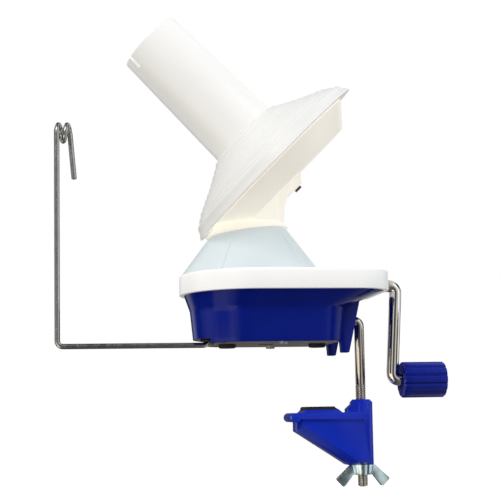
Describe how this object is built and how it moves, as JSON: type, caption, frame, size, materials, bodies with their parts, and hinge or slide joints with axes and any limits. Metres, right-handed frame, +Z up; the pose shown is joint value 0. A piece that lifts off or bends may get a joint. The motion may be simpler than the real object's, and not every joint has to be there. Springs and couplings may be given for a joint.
{
  "type": "yarn ball winder",
  "caption": "Hand-cranked yarn ball winder with a tilted spindle on a turning carrier, a geared housing, a wire yarn guide and a screw clamp for the table edge.",
  "frame": {"origin": "on the rotor's upright axis, in the plane of the rubber feet, where the housing stands on the table top", "axes": "+X towards the crank, +Z up along the rotor's axis, +Y completes the right-handed set"},
  "size_m": [0.2225, 0.1218, 0.2695],
  "materials": {
    "shell_blue": "glossy injection-moulded",
    "galvanised": "dull zinc-plated sheet",
    "rubber": "matt",
    "cover_white": "satin gloss",
    "cone_white": "satin",
    "carrier_white": "satin gloss",
    "plate_white": "satin gloss, ridged",
    "tube_white": "satin gloss",
    "steel": "bright drawn",
    "dark_steel": "blackened",
    "nylon": "natural",
    "black_plastic": "satin",
    "bolt_zinc": "zinc plated",
    "chrome": "polished",
    "grip_blue": "glossy",
    "wire_steel": "bright drawn wire",
    "clamp_blue": "glossy",
    "nut_zinc": "blue passivated zinc"
  },
  "bodies": {
    "base": {"lower_shell": "shell_blue", "bottom_plate": "galvanised", "rubber_feet": "rubber", "top_cover": "cover_white", "gear_cone": "cone_white", "centre_post": "steel", "thrust_washer": "nylon", "sun_gear": "nylon", "sun_gear_screw": "steel", "cover_screws": "steel", "plate_screws": "steel", "crank_bushes": "nylon", "guide_bushing": "black_plastic", "hook_bolt": "bolt_zinc"},
    "crank": {"crank_rod": "chrome", "crown_gear": "nylon", "gear_pin": "steel", "stop_collar": "steel", "grip_clip": "steel"},
    "grip": {"crank_grip": "grip_blue"},
    "carrier": {"rotor_tube": "steel", "rotor_pinion": "nylon", "carrier_shell": "carrier_white", "spindle_shaft": "steel", "spindle_screw": "dark_steel", "spindle_washer": "steel", "spindle_clip": "steel"},
    "bobbin": {"yarn_plate": "plate_white", "winding_tube": "tube_white", "spindle_bush": "nylon", "bobbin_gear": "nylon"},
    "guide": {"guide_wire": "wire_steel", "guide_clip": "steel"},
    "jaw": {"clamp_jaw": "clamp_blue", "jaw_pad": "rubber"},
    "nut": {"wing_nut": "nut_zinc"}
  },
  "joints": [
    {"name": "crank_spin", "type": "hinge", "parent": "base", "child": "crank", "pos_m": [0.05, 0, 0.0352], "axis": [1, 0, 0], "continuous": true},
    {"name": "grip_spin", "type": "hinge", "parent": "crank", "child": "grip", "pos_m": [0.1, 0, -0.0192], "axis": [1, 0, 0], "continuous": true},
    {"name": "carrier_spin", "type": "hinge", "parent": "base", "child": "carrier", "pos_m": [0, 0, 0.05], "axis": [0, 0, 1], "continuous": true},
    {"name": "bobbin_spin", "type": "hinge", "parent": "carrier", "child": "bobbin", "pos_m": [0, 0, 0.1202], "axis": [-0.7071, 0, 0.7071], "continuous": true},
    {"name": "guide_swivel", "type": "hinge", "parent": "base", "child": "guide", "pos_m": [-0.025, 0, 0.009], "axis": [0, 0, 1], "range_deg": [-55, 55]},
    {"name": "jaw_slide", "type": "slide", "parent": "base", "child": "jaw", "axis": [0, 0, 1], "range_m": [-0.009, 0.03]},
    {"name": "nut_spin", "type": "hinge", "parent": "jaw", "child": "nut", "pos_m": [0.0622, 0, -0.07], "axis": [0, 0, 1], "range_deg": [-2880, 10080]}
  ],
  "couplings": [
    {"joint": "carrier_spin", "follows": "crank_spin", "ratio": 3.0769},
    {"joint": "bobbin_spin", "follows": "crank_spin", "ratio": 3.2168},
    {"joint": "jaw_slide", "follows": "nut_spin", "m_per_rad": 0.00015915}
  ]
}
